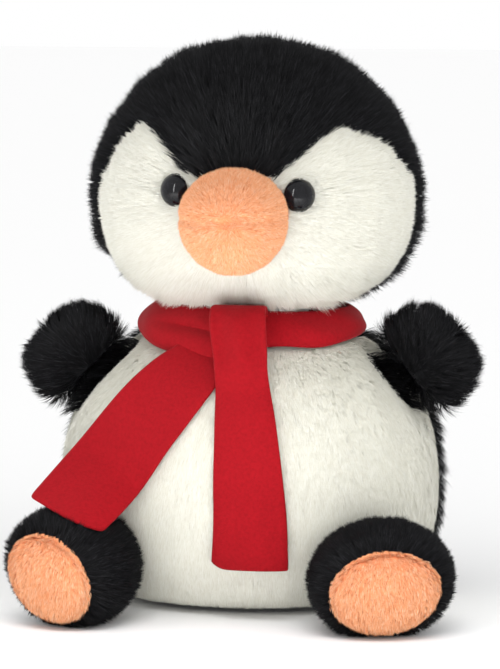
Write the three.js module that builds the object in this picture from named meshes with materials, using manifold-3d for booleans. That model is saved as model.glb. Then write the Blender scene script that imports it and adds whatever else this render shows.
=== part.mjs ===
// A sitting plush penguin with a scarf, in millimetres.
// +Z is up, the penguin faces -Y, and the origin is the middle of its flat seat.
// "left" and "right" are the penguin's own, so its left side is at +X.
import * as THREE from 'three';
import { mergeVertices } from 'three/addons/utils/BufferGeometryUtils.js';
import Module from 'manifold-3d';

const wasm = await Module();
wasm.setup();

// ---------------------------------------------------------------- driving dimensions
const FABRIC = 2.4;          // backing cloth and dense pile together
const SEAM = 0.3;            // gap between two pieces that are sewn or rest together
const ROUND_SEGMENTS = 20;   // facets round the head and the body
const SMALL_SEGMENTS = 14;   // facets round the small parts

const BODY = {
  front: 0.90,               // depth of the front half as a share of the half width
  back: 0.82,
  left: 0.965,               // the belly bulges more to its right than to its left
  right: 1.035,
  sideSeam: 4,               // the y of the seam between belly and back
  top: 95,
  openingRadius: 24,         // where the neck stuffing comes out
  baseRadius: 44,
};
// Half width and height up the side of the body, from the seat to the neck.
const BODY_SIDE = [
  [46, 0], [54, 3.5], [60, 10], [64.5, 20], [67, 33], [67, 47], [65, 59],
  [61.5, 69], [56.5, 77], [50, 84], [43.5, 89], [38, 92.8], [32, 95],
];

const HEAD = {
  front: 0.87,
  back: 0.88,
  gussetHalfWidth: 9,
  bottom: 106.5,
  baseRadius: 29,
};
const HEAD_SIDE = [
  [30, 106.5], [40, 109.5], [47.5, 115], [53, 123], [55.6, 134], [55.6, 145],
  [53.5, 156], [48, 167], [40, 177], [29, 185.5], [16, 191],
];
const HEAD_TOP = 192.5;

const NECK = { pivotHeight: 88, radius: 22, clearance: 0.7, bottom: 93.2 };

// Each white face panel from the brow round to the jaw: x outwards from the middle, and z.
const FACE = {
  middle: [32, 138],
  below: 100,
  left: [[13, 150], [29, 164], [37, 163.5], [48, 156], [54.5, 136], [44, 108]],
  right: [[15, 150], [31, 165.5], [38, 163], [46, 153], [51, 138], [45, 108]],
};

const BEAK = {
  centre: [0, -50, 137.5],
  halfWidth: 18.5,
  upperHeight: 16.5,
  lowerHeight: 19.5,
  length: 22.5,
  depthInside: 14,
  cloth: 1.8,
};

const EYE = {
  diameter: 12,
  dome: 4.2,
  lift: 0.6,                 // the rim of the dome stands this far off the cloth
  tilt: 1.1,                 // upward part of the way the dome looks, beside its x and y in mm
  shankRadius: 1.6,
  shankLength: 7.5,
  washerRadius: 5,
  washerThickness: 1.2,
  washerDepth: 0.9,          // from the inside of the cloth to the washer
};
const EYE_PLACES = [
  { side: 'left', x: 22, z: 144.6 },
  { side: 'right', x: -22, z: 145.8 },
];

const FLIPPER = {
  y: -12,
  gap: 1.8,                  // from the body to the root, for the flipper to flap
  halfThickness: 8.5,
  rootTaper: 0.55,           // thickness of the root as a share of the full thickness
};
// The shoulder seam runs from seamHigh to seamLow: x outwards from the middle, and z.
const FLIPPERS = [
  { side: 'left', seamHigh: [41.2, 94], seamLow: [65.7, 64.5], length: 23.5, halfWidth: 18.5 },
  { side: 'right', seamHigh: [42.3, 91.9], seamLow: [68.8, 64.4], length: 22, halfWidth: 18.5 },
];

const FOOT = { halfLength: 24, halfHeight: 18.5, soleShare: 0.62, gap: 1.5 };
const FEET = [
  { side: 'left', centre: [52, -64, 18], halfWidth: 24, splay: 13, pitch: 8, roll: 8 },
  { side: 'right', centre: [-52.5, -64, 19.5], halfWidth: 21.5, splay: -22, pitch: 8, roll: -38 },
];

const SCARF = {
  cloth: 2.2,
  bandFrom: 0.5,             // distances from the body
  bandTo: 3.2,
  knotTo: 8.5,
  top: 103,
  tailGap: 1.5,
  sideHinge: [-16.2, -44.15, 84.93],
  sideFalls: [-0.302, -0.645, -0.702],   // the way the side tail runs down from its hinge
};
// Radius and height of the line that the scarf follows, from the chest up to the neck.
const CHEST_LINE = [[65, 59], [61.5, 69], [56.5, 77], [50, 84], [43.5, 89], [38, 92.8]];
const BELLY_HANG = [[60, 10], [64.5, 20], [67, 33], [67, 47]];
const FOOT_HANG = [[78, 28], [74, 36], [70.5, 44], [68, 51]];
const BEANS = { halfWidth: 38, halfDepth: 32, height: 22 };

const COLOURS = {
  black: 0x17171a,
  white: 0xe8e4d6,
  orange: 0xf0a06c,
  red: 0xb01224,
  filling: 0xf4f4f0,
  pellets: 0xcfc9b8,
  plastic: 0x08080a,
  washer: 0xdedede,
};

// ---------------------------------------------------------------- geometry helpers
const degrees = THREE.MathUtils.degToRad;

/** A closed geometry as a solid that can be joined and cut. */
function solid(geometry) {
  const bare = geometry.clone();
  bare.deleteAttribute('normal');
  bare.deleteAttribute('uv');
  const merged = mergeVertices(bare, 1e-4);
  const corners = [];
  const index = merged.index.array;
  for (let i = 0; i < index.length; i += 3) {
    const [a, b, c] = [index[i], index[i + 1], index[i + 2]];
    if (a !== b && b !== c && c !== a) corners.push(a, b, c);
  }
  return new wasm.Manifold(new wasm.Mesh({
    numProp: 3,
    vertProperties: new Float32Array(merged.attributes.position.array),
    triVerts: new Uint32Array(corners),
  }));
}

/** A box between two opposite corners. */
function block([x0, y0, z0], [x1, y1, z1]) {
  const geometry = new THREE.BoxGeometry(x1 - x0, y1 - y0, z1 - z0);
  return solid(geometry.translate((x0 + x1) / 2, (y0 + y1) / 2, (z0 + z1) / 2));
}

/** Everything on one side of a plane through a point, as a very large block. */
function halfSpace(point, normal) {
  const reach = 400;
  const geometry = new THREE.BoxGeometry(reach, reach, reach).translate(0, 0, reach / 2);
  const turn = new THREE.Quaternion();
  turn.setFromUnitVectors(new THREE.Vector3(0, 0, 1), new THREE.Vector3(...normal).normalize());
  return solid(geometry.applyQuaternion(turn).translate(...point));
}

/** A profile of [radius, height] pairs, turned about Z. */
function turned(profile, segments) {
  const points = profile.map(([radius, height]) => new THREE.Vector2(radius, height));
  return new THREE.LatheGeometry(points, segments).rotateX(Math.PI / 2);
}

/** The biggest of the separate bodies in a solid, which leaves out slivers at a cut. */
function biggest(shape) {
  return shape.decompose().reduce((a, b) => (a.volume() > b.volume() ? a : b));
}

/** Moves an open profile outwards by a distance, or inwards when it is negative. */
function grownProfile(profile, distance) {
  return profile.map(([radius, height], i) => {
    const before = profile[Math.max(i - 1, 0)];
    const after = profile[Math.min(i + 1, profile.length - 1)];
    const along = [after[0] - before[0], after[1] - before[1]];
    const size = Math.hypot(...along);
    return [radius + (distance * along[1]) / size, height - (distance * along[0]) / size];
  });
}

/** Squeezes a turned geometry by a share on each of its four sides: -Y, +Y, -X and +X. */
function squeezed(geometry, front, back, right = 1, left = 1) {
  const place = geometry.attributes.position;
  for (let i = 0; i < place.count; i += 1) {
    const x = place.getX(i);
    const y = place.getY(i);
    place.setXY(i, x * (x < 0 ? right : left), y * (y < 0 ? front : back));
  }
  return geometry;
}

/** Gives a turned geometry the outline that the body has from above. */
function bodyPlan(geometry) {
  return squeezed(geometry, BODY.front, BODY.back, BODY.right, BODY.left);
}

/** An outline drawn in x and z, seen from the front, reaching from y = 0 towards -Y. */
function frontPrism(shape, depth = 120) {
  return solid(new THREE.ExtrudeGeometry(shape, { depth, bevelEnabled: false, curveSegments: 10 })
    .rotateX(Math.PI / 2));
}

/** An outline drawn in y and z, seen from the side, reaching across the whole width. */
function sidePrism(points) {
  const shape = new THREE.Shape(points.map(([y, z]) => new THREE.Vector2(y, z)));
  const geometry = new THREE.ExtrudeGeometry(shape, { depth: 200, bevelEnabled: false });
  const upright = new THREE.Matrix4().makeBasis(
    new THREE.Vector3(0, 1, 0), new THREE.Vector3(0, 0, 1), new THREE.Vector3(1, 0, 0));
  return solid(geometry.applyMatrix4(upright).translate(-100, 0, 0));
}

function cylinder(radius, low, high) {
  const geometry = new THREE.CylinderGeometry(radius, radius, high - low, ROUND_SEGMENTS);
  return solid(geometry.rotateX(Math.PI / 2).translate(0, 0, (low + high) / 2));
}

/** One end of a blob: radius and length of a superellipse quarter, from its rim to its pole. */
function endProfile(radius, length, power, steps) {
  const points = [];
  for (let i = 0; i <= steps; i += 1) {
    const angle = (i / steps) * (Math.PI / 2);
    const r = i === steps ? 0 : radius * Math.cos(angle) ** (2 / power);
    points.push([r, length * Math.sin(angle) ** (2 / power)]);
  }
  return points;
}

/** A closed blob along Z from -back to +front, of unit radius. */
function blob(back, front, backPower, frontPower) {
  const rear = endProfile(1, -back, backPower, 4).reverse();
  const nose = endProfile(1, front, frontPower, 4).slice(1);
  return turned([...rear, ...nose], SMALL_SEGMENTS);
}

/** Turns Z to point forwards along -Y, then splays, pitches and rolls it, and puts it in place. */
function facing(geometry, centre, splay = 0, pitch = 0, roll = 0) {
  return geometry
    .rotateZ(degrees(roll))
    .rotateX(Math.PI / 2)
    .rotateX(degrees(pitch))
    .rotateZ(degrees(splay))
    .translate(...centre);
}

const group = new THREE.Group();

/** Adds a solid to the object as a named mesh. */
function piece(name, shape, colour, roughness = 0.95) {
  const mesh = shape.getMesh();
  const geometry = new THREE.BufferGeometry();
  geometry.setAttribute('position', new THREE.BufferAttribute(mesh.vertProperties, mesh.numProp));
  geometry.setIndex(new THREE.BufferAttribute(mesh.triVerts, 1));
  geometry.computeVertexNormals();
  const material = new THREE.MeshStandardMaterial({ color: colour, roughness, metalness: 0 });
  const part = new THREE.Mesh(geometry, material);
  part.name = name;
  group.add(part);
}

// ---------------------------------------------------------------- shared shapes
/** The body's outside, grown or shrunk by a distance. */
function bodyShape(grow) {
  const side = grownProfile(BODY_SIDE, grow);
  const profile = [[0, -grow], ...side, [0, BODY.top + grow]];
  return solid(bodyPlan(turned(profile, ROUND_SEGMENTS)));
}

/** The head's outside, grown or shrunk by a distance. */
function headShape(grow) {
  const side = grownProfile(HEAD_SIDE, grow);
  const profile = [[0, HEAD.bottom - grow], ...side, [0, HEAD_TOP + grow]];
  return solid(squeezed(turned(profile, ROUND_SEGMENTS), HEAD.front, HEAD.back));
}

const leftHalf = halfSpace([SEAM / 2, 0, 0], [1, 0, 0]);
const rightHalf = halfSpace([-SEAM / 2, 0, 0], [-1, 0, 0]);
const neckBall = (grow) => solid(new THREE.SphereGeometry(NECK.radius + grow, ROUND_SEGMENTS, 12)
  .rotateX(Math.PI / 2)
  .translate(0, 0, NECK.pivotHeight));

// ---------------------------------------------------------------- torso
function buildTorso() {
  const shell = bodyShape(0)
    .subtract(bodyShape(-FABRIC))
    .subtract(cylinder(BODY.openingRadius, 60, BODY.top + 20));
  const baseZone = cylinder(BODY.baseRadius, -10, FABRIC + 0.5);
  const inFront = halfSpace([0, BODY.sideSeam - SEAM / 2, 0], [0, -1, 0]);
  const behind = halfSpace([0, BODY.sideSeam + SEAM / 2, 0], [0, 1, 0]);
  const walls = shell.subtract(cylinder(BODY.baseRadius + SEAM, -10, FABRIC + 0.5));
  piece('base_panel', shell.intersect(baseZone), COLOURS.black);
  piece('belly_panel', walls.intersect(inFront), COLOURS.white);
  piece('back_panel_left', walls.intersect(behind).intersect(leftHalf), COLOURS.black);
  piece('back_panel_right', walls.intersect(behind).intersect(rightHalf), COLOURS.black);

  // A pouch of pellets weighs the seat down, under the fibre filling.
  const pouchShape = (grow, rim) => solid(
    turned([...rim, ...endProfile(1, 1, 2.4, 4)], ROUND_SEGMENTS)
      .scale(BEANS.halfWidth + grow, BEANS.halfDepth + grow, BEANS.height + grow)
      .translate(0, 0, FABRIC + SEAM));
  const pocket = pouchShape(SEAM, [[0, -1], [1, -1]]);
  piece('pellet_pouch', pouchShape(0, [[0, 0]]), COLOURS.pellets);
  piece('body_stuffing', bodyShape(-FABRIC - SEAM).subtract(pocket), COLOURS.filling);

  const neckZone = halfSpace([0, 0, NECK.bottom], [0, 0, 1]);
  piece('neck_stuffing', neckBall(0).intersect(neckZone), COLOURS.filling);
}

// ---------------------------------------------------------------- head
/** Front outline of one white face panel; side is 1 for the left panel and -1 for the right. */
function faceOutline(side, grow) {
  const [midX, midZ] = FACE.middle;
  const grown = ([x, z]) => {
    const size = Math.hypot(x - midX, z - midZ);
    return [x + (grow * (x - midX)) / size, z + (grow * (z - midZ)) / size];
  };
  const at = ([x, z]) => new THREE.Vector2(side * x, z);
  const [peak, ...edge] = (side > 0 ? FACE.left : FACE.right).map(grown);
  const shape = new THREE.Shape();
  shape.moveTo(...at([-grow, FACE.below]));
  shape.lineTo(...at([-grow, peak[1]]));
  shape.lineTo(...at(peak));
  shape.splineThru(edge.map(at));
  shape.lineTo(...at([edge.at(-1)[0], FACE.below]));
  shape.closePath();
  return shape;
}

function buildHead() {
  const socket = neckBall(NECK.clearance);
  const shell = headShape(0).subtract(headShape(-FABRIC)).subtract(socket);
  const baseTop = HEAD.bottom + FABRIC + 0.2;
  const walls = shell.subtract(cylinder(HEAD.baseRadius + SEAM, 90, baseTop));
  piece('head_base_panel', shell.intersect(cylinder(HEAD.baseRadius, 90, baseTop)), COLOURS.black);

  let hood = walls;
  const eyes = EYE_PLACES.map(eyeShapes);
  const eyeHoles = eyes.map((eye) => eye.hole).reduce((a, b) => a.add(b));
  for (const [side, name] of [[1, 'left'], [-1, 'right']]) {
    const half = side > 0 ? leftHalf : rightHalf;
    const panel = walls.intersect(frontPrism(faceOutline(side, 0))).intersect(half);
    piece(`face_panel_${name}`, panel.subtract(eyeHoles), COLOURS.white);
    hood = hood.subtract(frontPrism(faceOutline(side, SEAM)));
  }
  const { gussetHalfWidth: halfWidth } = HEAD;
  const beyond = (x, side) => halfSpace([side * x, 0, 0], [side, 0, 0]);
  piece('head_gusset', hood
    .subtract(beyond(halfWidth, 1))
    .subtract(beyond(halfWidth, -1)), COLOURS.black);
  piece('head_hood_left', hood.intersect(beyond(halfWidth + SEAM, 1)), COLOURS.black);
  piece('head_hood_right', hood.intersect(beyond(halfWidth + SEAM, -1)), COLOURS.black);

  const eyePockets = eyes.map((eye) => eye.pocket).reduce((a, b) => a.add(b));
  piece('head_stuffing', headShape(-FABRIC - SEAM)
    .subtract(socket)
    .subtract(eyePockets), COLOURS.filling);
  for (const eye of eyes) {
    piece(`eye_${eye.side}`, eye.eye, COLOURS.plastic, 0.08);
    piece(`eye_washer_${eye.side}`, eye.washer, COLOURS.washer, 0.4);
  }
}

/** A safety eye at its place on the face: a dome with a shank, and the washer that locks it. */
function eyeShapes({ side, x, z }) {
  const ray = block([x - 0.2, -80, z - 0.2], [x + 0.2, 0, z + 0.2]);
  const { min } = headShape(0).intersect(ray).boundingBox();
  const surface = new THREE.Vector3(x, min[1], z);
  const outward = new THREE.Vector3(x, surface.y / HEAD.front, EYE.tilt).normalize();
  const place = (geometry) => {
    const turn = new THREE.Quaternion().setFromUnitVectors(new THREE.Vector3(0, 0, 1), outward);
    return solid(geometry.applyQuaternion(turn).translate(surface.x, surface.y, surface.z));
  };
  const rod = (radius, low, high) => {
    const geometry = new THREE.CylinderGeometry(radius, radius, high - low, 10);
    return place(geometry.rotateX(Math.PI / 2).translate(0, 0, (low + high) / 2));
  };
  const washerTop = -FABRIC - EYE.washerDepth;
  const domeProfile = endProfile(EYE.diameter / 2, EYE.dome, 2, 3).map(([r, h]) => [r, h + EYE.lift]);
  const dome = place(turned([[0, EYE.lift], ...domeProfile], SMALL_SEGMENTS));
  const washerDisc = rod(EYE.washerRadius, washerTop - EYE.washerThickness, washerTop);
  return {
    side,
    eye: dome.add(rod(EYE.shankRadius, -EYE.shankLength, EYE.lift + SEAM)),
    washer: washerDisc.subtract(rod(EYE.shankRadius + SEAM, -20, 5)),
    hole: rod(EYE.shankRadius + SEAM, -20, 8),
    pocket: rod(EYE.washerRadius + SEAM, -EYE.shankLength - SEAM, 8),
  };
}

// ---------------------------------------------------------------- beak
function buildBeak() {
  // Turned by half a facet, so that the mouth seam runs through the middle of a facet.
  const round = (grow) => blob(BEAK.depthInside, BEAK.length + grow, 2, 2.2)
    .rotateZ(Math.PI / SMALL_SEGMENTS)
    .scale(BEAK.halfWidth + grow, 1, 1);
  const beakShape = (grow) => {
    const full = squeezed(round(grow), BEAK.lowerHeight + grow, BEAK.upperHeight + grow);
    return solid(facing(full, BEAK.centre)).subtract(headShape(SEAM));
  };
  const shell = beakShape(0).subtract(beakShape(-BEAK.cloth));
  const [x, y, seam] = BEAK.centre;
  const above = halfSpace([x, y, seam + SEAM / 2], [0, 0, 1]);
  const below = halfSpace([x, y, seam - SEAM / 2], [0, 0, -1]);
  piece('beak_upper', biggest(shell.intersect(above)), COLOURS.orange);
  piece('beak_lower', biggest(shell.intersect(below)), COLOURS.orange);
  piece('beak_stuffing', beakShape(-BEAK.cloth - SEAM), COLOURS.filling);
}

// ---------------------------------------------------------------- flippers
/** A flat stuffed paddle whose straight root edge runs along the shoulder seam. */
function flipperShape({ side, seamHigh, seamLow, length, halfWidth }, grow) {
  const { halfThickness, rootTaper, gap } = FLIPPER;
  const centre = length * 0.3;
  const geometry = turned(
    [...endProfile(1, -centre, 5, 4).reverse(), ...endProfile(1, length - centre, 2.2, 4).slice(1)],
    SMALL_SEGMENTS);
  const place = geometry.attributes.position;
  for (let i = 0; i < place.count; i += 1) {
    const outwards = place.getZ(i);
    const swell = THREE.MathUtils.smoothstep(outwards, -centre, centre);
    const thickness = (halfThickness + grow) * (rootTaper + (1 - rootTaper) * swell);
    place.setXYZ(i,
      place.getX(i) * (halfWidth + grow),
      place.getY(i) * thickness,
      outwards * (1 + grow / length) + centre + gap);
  }
  const along = new THREE.Vector3(seamLow[0] - seamHigh[0], 0, seamLow[1] - seamHigh[1]).normalize();
  const outward = new THREE.Vector3(-along.z, 0, along.x);
  const forwards = new THREE.Vector3().crossVectors(outward, along);
  const frame = new THREE.Matrix4().makeBasis(along, forwards, outward);
  frame.setPosition((seamHigh[0] + seamLow[0]) / 2, FLIPPER.y, (seamHigh[1] + seamLow[1]) / 2);
  const left = solid(geometry.applyMatrix4(frame));
  return side === 'left' ? left : left.mirror([1, 0, 0]);
}

function buildFlipper(flipper) {
  const shell = flipperShape(flipper, 0).subtract(flipperShape(flipper, -FABRIC));
  const front = halfSpace([0, FLIPPER.y - SEAM / 2, 0], [0, -1, 0]);
  const back = halfSpace([0, FLIPPER.y + SEAM / 2, 0], [0, 1, 0]);
  piece(`flipper_${flipper.side}_front`, shell.intersect(front), COLOURS.black);
  piece(`flipper_${flipper.side}_back`, shell.intersect(back), COLOURS.black);
  piece(`flipper_${flipper.side}_stuffing`, flipperShape(flipper, -FABRIC - SEAM), COLOURS.filling);
}

// ---------------------------------------------------------------- feet
function buildFoot({ side, centre, halfWidth, splay, pitch, roll }) {
  const { halfLength, halfHeight, soleShare, gap } = FOOT;
  const aboveFloor = halfSpace([0, 0, 0], [0, 0, 1]);
  const footShape = (grow) => solid(facing(
    blob(halfLength + grow, halfLength + grow, 2, 2.7)
      .scale(halfWidth + grow, halfHeight + grow, 1),
    centre, splay, pitch, roll))
    .intersect(halfSpace([0, 0, -grow], [0, 0, 1]))
    .subtract(bodyShape(gap - grow));
  const pointing = new THREE.Vector3(0, 0, 1)
    .applyAxisAngle(new THREE.Vector3(1, 0, 0), Math.PI / 2 + degrees(pitch))
    .applyAxisAngle(new THREE.Vector3(0, 0, 1), degrees(splay));
  const soleEdge = (offset) => new THREE.Vector3(...centre)
    .addScaledVector(pointing, halfLength * soleShare + offset)
    .toArray();
  const shell = footShape(0).subtract(footShape(-FABRIC)).intersect(aboveFloor);
  const forwards = pointing.toArray();
  const backwards = pointing.clone().negate().toArray();
  piece(`foot_${side}_sole`, shell.intersect(halfSpace(soleEdge(SEAM / 2), forwards)), COLOURS.orange);
  piece(`foot_${side}_upper`, shell.intersect(halfSpace(soleEdge(-SEAM / 2), backwards)), COLOURS.black);
  piece(`foot_${side}_stuffing`, footShape(-FABRIC - SEAM), COLOURS.filling);
}

// ---------------------------------------------------------------- scarf
/** A layer of cloth that hangs from the neck over the chest, between two distances from the body. */
function clothLayer(from, to, hang) {
  const neckline = [...hang, ...CHEST_LINE, [33.5, 97.5], [33.5, 106]];
  const outside = grownProfile(neckline, to);
  const inside = grownProfile(neckline, from);
  const ring = turned([...inside.reverse(), ...outside, inside[0]], ROUND_SEGMENTS);
  return solid(bodyPlan(ring));
}

/** A flat outline seen from the front, for cloth that lies on the chest. */
function chestPatch(points) {
  return frontPrism(new THREE.Shape(points.map(([x, z]) => new THREE.Vector2(x, z))));
}

function buildScarf() {
  // The band dips in front; below this line the tails hang clear of it.
  const bandLine = [[60, 93.5], [-5, 95.5], [-60, 83]];
  const lowered = (drop) => bandLine.map(([y, z]) => [y, z - drop]);
  const bandZone = sidePrism([[60, SCARF.top], ...bandLine, [-60, SCARF.top]]);
  const belowBand = sidePrism([[60, 0], ...lowered(SCARF.tailGap), [-60, 0]]);
  const band = clothLayer(SCARF.bandFrom, SCARF.bandTo, BELLY_HANG).intersect(bandZone);
  piece('scarf_band', band, COLOURS.red);

  const knot = clothLayer(SCARF.bandTo + SEAM, SCARF.knotTo, BELLY_HANG)
    .intersect(chestPatch([[-8, 87], [12, 87], [13, SCARF.top], [-9, SCARF.top]]));
  piece('scarf_knot', knot, COLOURS.red);
  const front = clothLayer(SCARF.bandTo + SEAM, SCARF.bandTo + SEAM + SCARF.cloth, BELLY_HANG)
    .intersect(chestPatch([[-6.5, 85.5], [12, 85.5], [18, 60], [20, 18], [-4, 18], [-5.5, 45]]));
  piece('scarf_tail_front', front, COLOURS.red);
  const sideTail = clothLayer(SCARF.bandFrom, SCARF.bandFrom + SCARF.cloth, FOOT_HANG)
    .intersect(chestPatch([[-7.5, 90], [-22, 95], [-66, 48], [-47, 38.8], [-24, 58], [-7.5, 74]]))
    .intersect(belowBand)
    .intersect(halfSpace(SCARF.sideHinge, SCARF.sideFalls));
  piece('scarf_tail_side', sideTail, COLOURS.red);
}

buildTorso();
buildHead();
buildBeak();
FLIPPERS.forEach(buildFlipper);
FEET.forEach(buildFoot);
buildScarf();

export default group;
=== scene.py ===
"""Looks for the sitting plush penguin: skins, fur, scarf, eyes, materials, floor, lights and camera.

Lengths are in metres, and MM turns millimetres into metres. The penguin faces -Y and sits on z = 0, and its
left side is at +X.
"""
import math

import bmesh
import bpy
import numpy as np
from mathutils import Matrix, Vector
from mathutils.bvhtree import BVHTree


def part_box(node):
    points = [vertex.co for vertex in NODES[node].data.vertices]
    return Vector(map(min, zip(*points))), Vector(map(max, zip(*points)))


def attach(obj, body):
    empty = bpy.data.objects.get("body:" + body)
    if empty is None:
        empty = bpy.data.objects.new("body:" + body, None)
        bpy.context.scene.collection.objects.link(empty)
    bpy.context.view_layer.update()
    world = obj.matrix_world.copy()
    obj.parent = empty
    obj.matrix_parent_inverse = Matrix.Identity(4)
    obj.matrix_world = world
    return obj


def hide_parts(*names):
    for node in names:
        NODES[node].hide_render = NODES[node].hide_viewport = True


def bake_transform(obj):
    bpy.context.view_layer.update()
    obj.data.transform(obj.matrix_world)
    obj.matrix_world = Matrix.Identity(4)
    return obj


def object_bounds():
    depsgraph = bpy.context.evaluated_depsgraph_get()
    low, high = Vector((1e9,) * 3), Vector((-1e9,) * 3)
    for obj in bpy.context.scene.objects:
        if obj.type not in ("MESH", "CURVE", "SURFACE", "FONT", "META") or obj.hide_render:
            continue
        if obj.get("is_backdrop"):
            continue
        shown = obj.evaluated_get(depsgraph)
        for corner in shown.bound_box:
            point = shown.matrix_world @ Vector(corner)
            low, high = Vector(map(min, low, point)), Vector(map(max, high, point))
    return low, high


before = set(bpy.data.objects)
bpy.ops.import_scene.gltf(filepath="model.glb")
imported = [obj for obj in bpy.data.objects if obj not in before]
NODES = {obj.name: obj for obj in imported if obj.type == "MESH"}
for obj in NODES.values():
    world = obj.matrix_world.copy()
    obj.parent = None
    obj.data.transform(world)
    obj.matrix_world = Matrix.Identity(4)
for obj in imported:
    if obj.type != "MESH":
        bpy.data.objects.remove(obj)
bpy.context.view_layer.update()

MM = 0.001
SEED = 7
scene = bpy.context.scene

# ---------------------------------------------------------------- driving values
CAMERA_AZIMUTH = 9.0        # degrees towards the penguin's left side
CAMERA_ELEVATION = 7.0
CAMERA_DISTANCE = 1.3
CAMERA_AIM = (0.0047, -0.045, 0.0971)
VIEW_HEIGHT = 0.2275        # height of what the camera sees at the distance of its aim
SENSOR = 36.0
FLOOR_HALF = 4              # the floor reaches this far each way

SKIN_DEPTH = 0.6 * MM       # the cloth under the pile lies this far inside the CAD surface
OFF_SEAM = 0.7 * MM         # rays aim this far beside the seams, so that none slips between two panels
RAY_START = 0.3             # rays start this far out, past every part
HELD_SEAM = 0.4 * MM        # cloth this near to a seam is held in full
GROOVE_WIDTH = 2.2 * MM     # the groove of a seam reaches this far to each side
CLOTH_FRAMES = 15           # steps of the simulation that swells a skin
CLOTH_PRESSURE = 4

PER_CLUMP = 6               # strands in one clump of fur
MOST_TRIANGLES = 195000     # in one piece of fur
FUR_FLOOR = 0.4 * MM        # no strand goes lower than this
SHOULDER = 7 * MM           # black fur on the body reaches this far from a flipper
NECK_RADIUS = 0.026         # the head has no fur underneath, nearer than this to its middle
COLLAR_RADIUS = 0.036       # the body has no fur nearer than this to its middle, above COLLAR_HEIGHT
COLLAR_HEIGHT = 0.088
CHIN_HEIGHT = 0.122         # the fur of the face gets longer below this
HEEL = -0.038               # the feet have no fur behind this y, where they are sewn to the body

SCARF_THICKNESS = 1.7 * MM

BEAK_MIDDLE = np.array([0.0, -0.050, 0.1375])
BEAK_TIP = np.array([0.0, -0.074, 0.1375])
MOUTH_HEIGHT = 0.1375
# From the beak's middle to its rim on the face in millimetres: sideways, down, up, and about that all round.
BEAK_WIDTH, BEAK_DROP, BEAK_RISE, BEAK_REACH = 18.5, 19.5, 16.5, 17.5
EYE_RIM = 5.6 * MM          # the fur ends this far from the middle of an eye
EYE_TURN = 1.9              # how much further to the side the eyes look than the head's surface does
EYE_SINK = 0.5 * MM         # how deep the fur lets the eyes lie
EYES = (("left", (0.0220, -0.0441, 0.1446)), ("right", (-0.0220, -0.0440, 0.1458)))


# ---------------------------------------------------------------- small helpers
def unit(vectors):
    size = np.linalg.norm(vectors, axis=-1, keepdims=True)
    return vectors / np.maximum(size, 1e-12)


def smooth(x, low, high):
    """0 below low, 1 above high, and an even turn between them."""
    t = np.clip((x - low) / (high - low), 0.0, 1.0)
    return t * t * (3.0 - 2.0 * t)


def linear(red, green, blue):
    """A colour from 0 to 255 on screen (sRGB), as the linear numbers that a shader takes."""
    return tuple(((c / 255 + 0.055) / 1.055) ** 2.4 if c > 10 else c / 3294.6 for c in (red, green, blue))


def link(obj):
    scene.collection.objects.link(obj)
    return obj


def mesh_points(mesh):
    points = np.zeros(len(mesh.vertices) * 3)
    mesh.vertices.foreach_get("co", points)
    return points.reshape(-1, 3)


def set_points(mesh, points):
    mesh.vertices.foreach_set("co", np.asarray(points, float).ravel())
    mesh.update()


def mesh_normals(mesh):
    normals = np.zeros(len(mesh.vertices) * 3)
    mesh.vertex_normals.foreach_get("vector", normals)
    return normals.reshape(-1, 3)


def applied(obj):
    """Replaces the object's mesh by its mesh with every modifier applied."""
    graph = bpy.context.evaluated_depsgraph_get()
    mesh = bpy.data.meshes.new_from_object(obj.evaluated_get(graph))
    obj.modifiers.clear()
    old, obj.data = obj.data, mesh
    mesh.name = obj.name
    bpy.data.meshes.remove(old)
    return obj


def shade_smooth(mesh):
    mesh.polygons.foreach_set("use_smooth", np.ones(len(mesh.polygons), bool))
    mesh.update()


def search_tree(*meshes):
    """One search tree over the faces of several meshes."""
    verts, faces = [], []
    for mesh in meshes:
        start = len(verts)
        verts.extend(v.co.copy() for v in mesh.vertices)
        faces.extend([start + i for i in p.vertices] for p in mesh.polygons)
    return BVHTree.FromPolygons(verts, faces)


def node_tree(*nodes):
    return search_tree(*(NODES[n].data for n in nodes))


def distances(tree, points):
    return np.array([tree.find_nearest(Vector(p))[3] for p in points])


def nearest_panels(trees, points):
    """For each point, which panel is nearest and about how far the next panel's seam is."""
    fields = np.array([distances(tree, points) for tree in trees])
    order = np.sort(fields, axis=0)
    return fields.argmin(axis=0), order[1] - order[0]


def along_surface(direction, normals):
    """The part of a direction that runs along the surface, one long."""
    return unit(direction - normals * (direction * normals).sum(axis=1, keepdims=True))


def ripple(points, size, seed):
    """A smooth random value from about -1 to 1 at each point, the sum of eight waves of a size in metres."""
    rng = np.random.default_rng(seed)
    total = np.zeros(len(points))
    for _ in range(8):
        wave = unit(rng.normal(size=3)) * rng.uniform(0.6, 1.5)
        total += np.sin(points @ wave * (2 * math.pi / size) + rng.random() * 2 * math.pi)
    return total / 3.2


# ---------------------------------------------------------------- materials
def material(name, colour, roughness=0.9, specular=0.3, sheen=0.0):
    """A shader whose plain values are on its own sockets; returns the material and the shader."""
    mat = bpy.data.materials.new(name)
    mat.use_nodes = True
    shader = mat.node_tree.nodes["Principled BSDF"]
    shader.inputs["Base Color"].default_value = (*colour, 1)
    shader.inputs["Roughness"].default_value = roughness
    shader.inputs["Specular IOR Level"].default_value = specular
    shader.inputs["Sheen Weight"].default_value = sheen
    return mat, shader


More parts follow.
